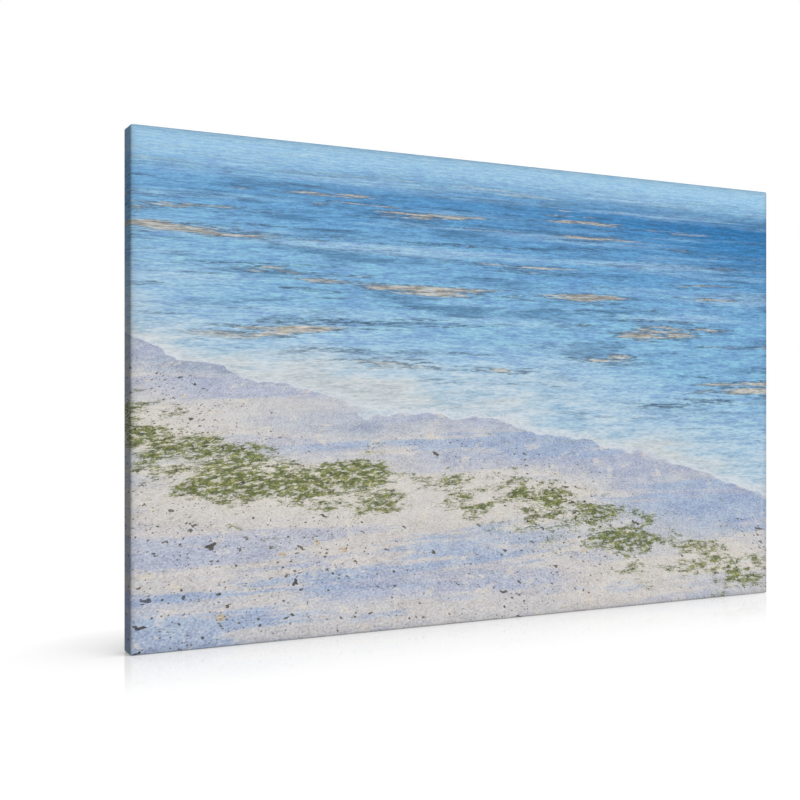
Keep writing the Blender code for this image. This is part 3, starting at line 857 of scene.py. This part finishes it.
def pine(name, upright, pith_across, pith_depth, taper, early, late, figure):
    """Planed pine: growth rings round a pith beside the bar, fine fibres and short dark resin lines."""
    finish = bpy.data.materials.new("pine_" + name)
    finish.use_nodes = True
    tree = finish.node_tree
    shader = tree.nodes["Principled BSDF"]
    where = put(tree, "ShaderNodeTexCoord").outputs["Object"]
    place = put(tree, "ShaderNodeSeparateXYZ", {0: where}).outputs
    run, across = (place[2], place[0]) if upright else (place[0], place[2])
    depth = place[1]
    own_start = 13.0 * (pith_across + 2 * pith_depth) + len(name)

    def along_the_grain(run_scale, cross_scale):
        """A place for noise, long along the plank, that starts elsewhere on each bar."""
        scaled = [reckon(tree, "MULTIPLY", value, cross_scale) for value in (across, depth)]
        return at(tree, reckon(tree, "MULTIPLY_ADD", run, run_scale, own_start), *scaled)

    wander = reckon(tree, "SUBTRACT", cloudy(tree, along_the_grain(4.0, 20.0), 1.0, 2.0), 0.5)
    off_across = reckon(tree, "MULTIPLY_ADD", wander, 0.010, reckon(tree, "SUBTRACT", across, pith_across))
    off_depth = reckon(tree, "MULTIPLY_ADD", wander, -0.008, reckon(tree, "SUBTRACT", depth, pith_depth))
    squares = [reckon(tree, "MULTIPLY", value, value) for value in (off_across, off_depth)]
    out = reckon(tree, "SQRT", reckon(tree, "ADD", *squares))
    out = reckon(tree, "MULTIPLY_ADD", run, taper, out)
    uneven = reckon(tree, "MULTIPLY", cloudy(tree, along_the_grain(9.0, 90.0), 1.0, 3.0), 1.1)
    ring = reckon(tree, "FRACT", reckon(tree, "ADD", reckon(tree, "DIVIDE", out, RING_PITCH), uneven))
    summer = reckon(tree, "MULTIPLY", rise(tree, ring, 0.15, 0.86), rise(tree, ring, 0.88, 1.0, 1.0, 0.0))
    patchy = cloudy(tree, along_the_grain(6.0, 60.0), 1.0, 2.0)
    strength = rise(tree, patchy, 0.35, 0.65, 0.3 * figure, figure)
    wood = blend(tree, reckon(tree, "MULTIPLY", summer, strength), early, late)
    fibres = cloudy(tree, along_the_grain(26.0, 1100.0), 1.0, 4.0, 0.6)
    wood = blend(tree, 0.42, wood, grey_of(tree, rise(tree, fibres, 0.3, 0.7, 0.38, 0.62)), "OVERLAY")
    soft = rise(tree, cloudy(tree, along_the_grain(7.0, 130.0), 1.0, 3.0), 0.35, 0.65, 0.42, 0.58)
    wood = blend(tree, 0.5, wood, grey_of(tree, soft), "OVERLAY")
    resin = rise(tree, cloudy(tree, along_the_grain(70.0, 1500.0), 1.0, 1.0), 0.70, 0.75, 0.0, 0.35)
    wood = blend(tree, resin, wood, ink(138, 98, 58))
    tree.links.new(wood, shader.inputs["Base Color"])
    height = reckon(tree, "MULTIPLY_ADD", summer, 0.5, fibres)
    bump = put(tree, "ShaderNodeBump", {"Strength": 0.3, "Distance": GRAIN_DEPTH, "Height": height})
    tree.links.new(bump.outputs[0], shader.inputs["Normal"])
    shader.inputs["Roughness"].default_value = 0.6
    shader.inputs["Specular IOR Level"].default_value = 0.25
    return finish


for name, wood in BAR_WOODS.items():
    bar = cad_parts[name].data
    bar.materials.clear()
    bar.materials.append(pine(name, *wood))


# Staples: flat galvanised wire, bent square and driven through the cloth into the bars with a staple gun.
# One is modelled and copied to each solid's place, crown flat on the cloth and legs in the wood.
CROWN_LENGTH = 0.0103
LEG_LENGTH = 0.006
WIRE_THICK = 0.00045
WIRE_WIDE = 0.0009
WIRE_ROUND = 0.00012
STAPLE_SINKS = 0.00022


def staple_steel():
    """Zinc-coated wire, dull in places."""
    finish = bpy.data.materials.new("staple_steel")
    finish.use_nodes = True
    tree = finish.node_tree
    shader = tree.nodes["Principled BSDF"]
    place = put(tree, "ShaderNodeTexCoord").outputs["Object"]
    dull = cloudy(tree, place, 700.0, 3.0, 0.5)
    colour = blend(tree, rise(tree, dull, 0.35, 0.65), ink(80, 82, 88), ink(116, 118, 124))
    tree.links.new(colour, shader.inputs["Base Color"])
    tree.links.new(rise(tree, dull, 0.3, 0.7, 0.3, 0.5), shader.inputs["Roughness"])
    shader.inputs["Metallic"].default_value = 1.0
    return finish


def first_staple():
    """The staple at the origin: its crown runs along X with its top at Y = 0, its legs point to -Y."""
    bpy.ops.object.select_all(action="DESELECT")
    bpy.ops.mesh.primitive_cube_add(size=1.0, location=(0, -WIRE_THICK / 2, 0))
    wire = bpy.context.object
    wire.name = "staple_wire"
    wire.scale = (CROWN_LENGTH, WIRE_THICK, WIRE_WIDE)
    bpy.ops.object.transform_apply(location=True, rotation=True, scale=True)
    bpy.ops.object.mode_set(mode="EDIT")
    for side in (-1, 1):
        bpy.ops.mesh.select_all(action="SELECT")
        inner = side * (CROWN_LENGTH / 2 - WIRE_THICK)
        bpy.ops.mesh.bisect(plane_co=(inner, 0, 0), plane_no=(1, 0, 0))
    bpy.ops.mesh.select_all(action="DESELECT")
    shape = bmesh.from_edit_mesh(wire.data)
    for face in shape.faces:
        centre = face.calc_center_median()
        face.select_set(face.normal.y < -0.5 and abs(centre.x) > CROWN_LENGTH / 2 - WIRE_THICK)
    bmesh.update_edit_mesh(wire.data)
    # Each leg grows from its own face, since a region extrude orders its faces differently from run to run.
    bpy.ops.mesh.extrude_faces_indiv()
    bpy.ops.transform.translate(value=(0, -LEG_LENGTH, 0))
    bpy.ops.object.mode_set(mode="OBJECT")
    rounding = wire.modifiers.new("rounding", "BEVEL")
    rounding.width = WIRE_ROUND
    rounding.segments = 2
    rounding.limit_method = "ANGLE"
    finish_shape(wire, rounding)
    wire.data.materials.append(staple_steel())
    for polygon in wire.data.polygons:
        polygon.use_smooth = True
    return wire


wire = first_staple()
for name in STAPLE_NAMES:
    middle, way, top = STAPLES[name]
    along = Vector((way[0], 0, way[1])).normalized()
    outward = Vector((0, 1, 0))
    turned = Matrix((along, outward, along.cross(outward))).transposed().to_4x4()
    staple = bpy.data.objects.new(name + "_wire", wire.data.copy())
    staple.data.transform(Matrix.Translation((middle[0], top - STAPLE_SINKS, middle[1])) @ turned)
    bpy.context.scene.collection.objects.link(staple)
    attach(staple, "root")
    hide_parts(name)
bpy.data.objects.remove(wire, do_unlink=True)
